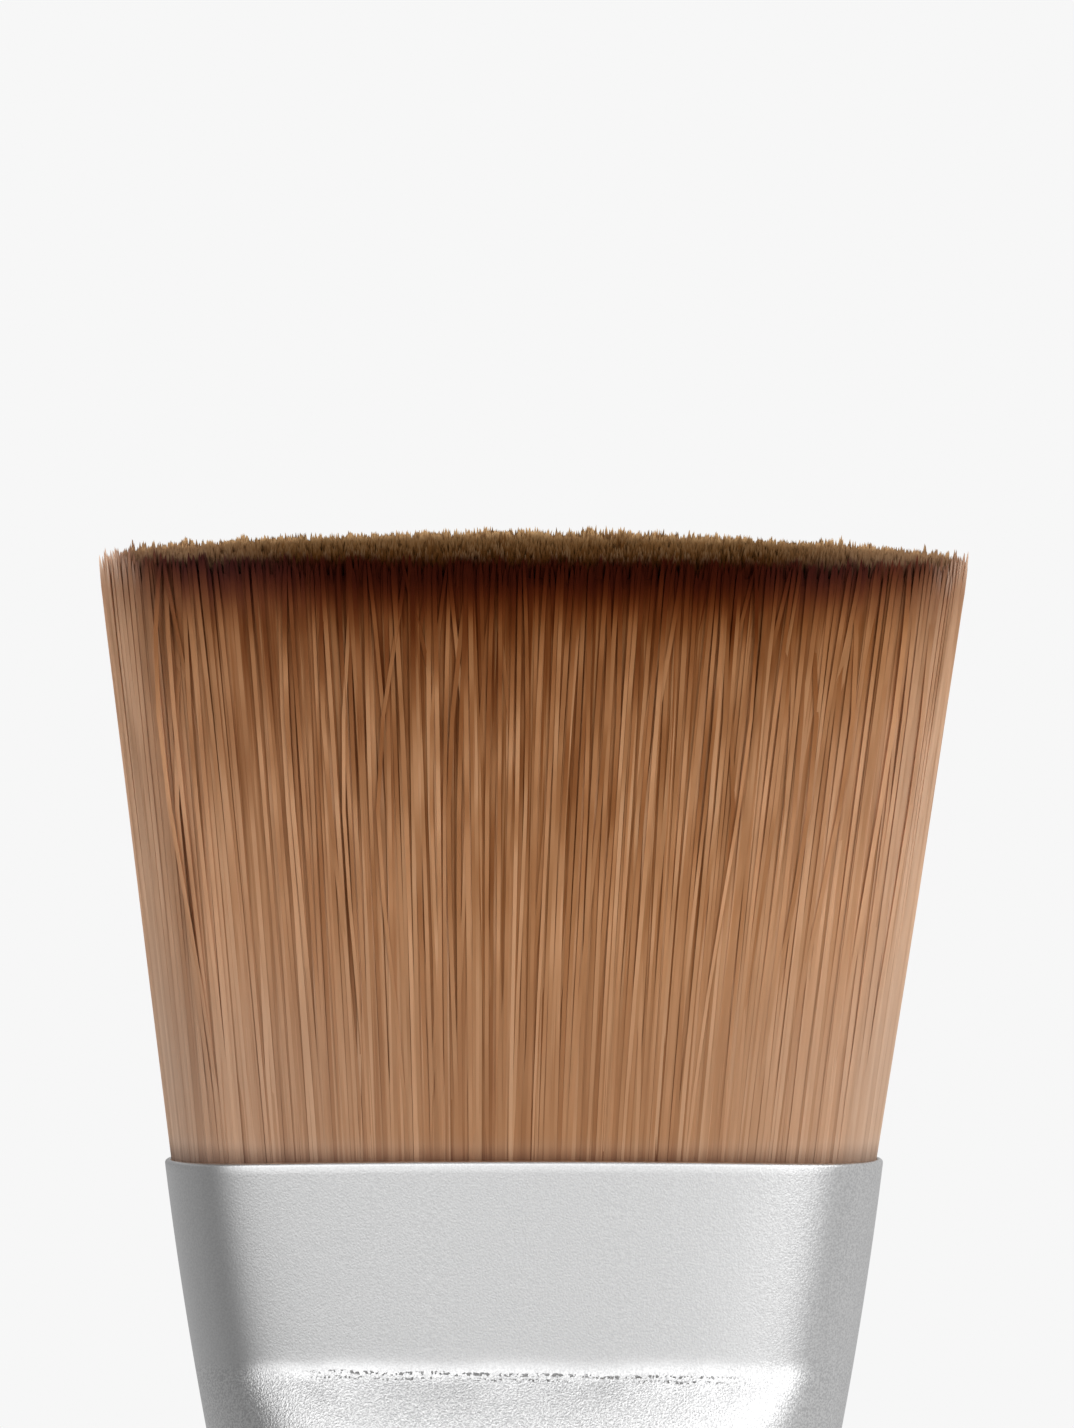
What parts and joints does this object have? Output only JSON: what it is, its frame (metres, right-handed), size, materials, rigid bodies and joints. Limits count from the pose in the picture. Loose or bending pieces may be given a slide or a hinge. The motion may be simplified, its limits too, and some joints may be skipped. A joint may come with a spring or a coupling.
{
  "type": "makeup brush",
  "caption": "Flat-topped makeup brush with a wide, dense head of dark-tipped brown filaments, a ferrule pressed flat at its rim, and a tapered turned handle.",
  "frame": {"origin": "centre of the flat end of the handle", "axes": "+Z along the brush from the handle's end to the bristles' tips, +X across the wide side of the flat head, and -Y out of the head's front face, the one that the picture shows"},
  "size_m": [0.0352, 0.0178, 0.1724],
  "materials": {
    "filament": "synthetic filament, pale brown at the root and dyed dark brown at the tip",
    "resin": "cast epoxy resin",
    "satin_aluminium": "satin, with a fine blasted grain",
    "glue": "set epoxy glue",
    "lacquered_wood": "black lacquer on turned wood"
  },
  "bodies": {
    "root": {"bristles": "filament", "root_plug": "resin", "ferrule": "satin_aluminium", "tenon_glue": "glue", "handle": "lacquered_wood"}
  },
  "joints": []
}
